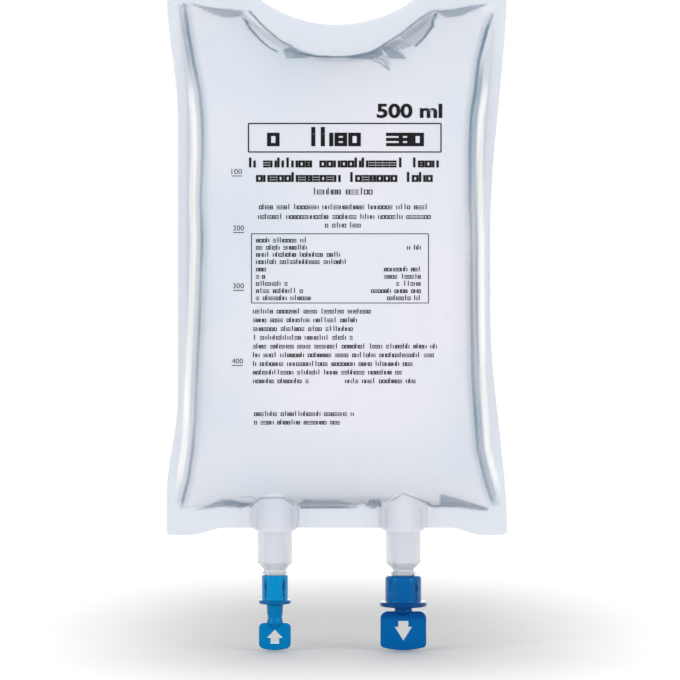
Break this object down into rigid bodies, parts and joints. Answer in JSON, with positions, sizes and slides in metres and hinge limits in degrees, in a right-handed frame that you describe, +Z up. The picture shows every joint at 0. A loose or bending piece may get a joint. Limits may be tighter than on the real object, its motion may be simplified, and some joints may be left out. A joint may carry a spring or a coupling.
{
  "type": "intravenous fluid bag",
  "caption": "Flexible clear infusion bag filled with saline, with a hanging hole above and two capped ports with twist-off tabs below.",
  "frame": {"origin": "middle of the hanging hole's straight upper edge, in the plane where the two films are welded", "axes": "+Z up along the bag's length, +X across its width to the right as seen from the front, -Y out of the printed front"},
  "size_m": [0.1291, 0.0426, 0.266],
  "materials": {
    "film": "gloss",
    "saline": "gloss",
    "port_tube": "satin",
    "light_blue_cap": "gloss",
    "dark_blue_cap": "gloss",
    "septum": "matte"
  },
  "bodies": {
    "bag": {"front_film": "film", "back_film": "film", "saline": "saline", "injection_port_tube": "port_tube", "infusion_port_tube": "port_tube", "injection_collar": "light_blue_cap", "infusion_collar": "dark_blue_cap", "injection_septum": "septum", "infusion_septum": "septum"},
    "injection_tab": {"injection_break_off_tab": "light_blue_cap"},
    "infusion_tab": {"infusion_break_off_tab": "dark_blue_cap"}
  },
  "joints": [
    {"name": "injection_tab_twist", "type": "hinge", "parent": "bag", "child": "injection_tab", "pos_m": [-0.0236, 0, -0.24], "axis": [0, 0, -1], "range_deg": [-90, 90]},
    {"name": "infusion_tab_twist", "type": "hinge", "parent": "bag", "child": "infusion_tab", "pos_m": [0.0252, 0, -0.241], "axis": [0, 0, -1], "range_deg": [-90, 90]}
  ]
}
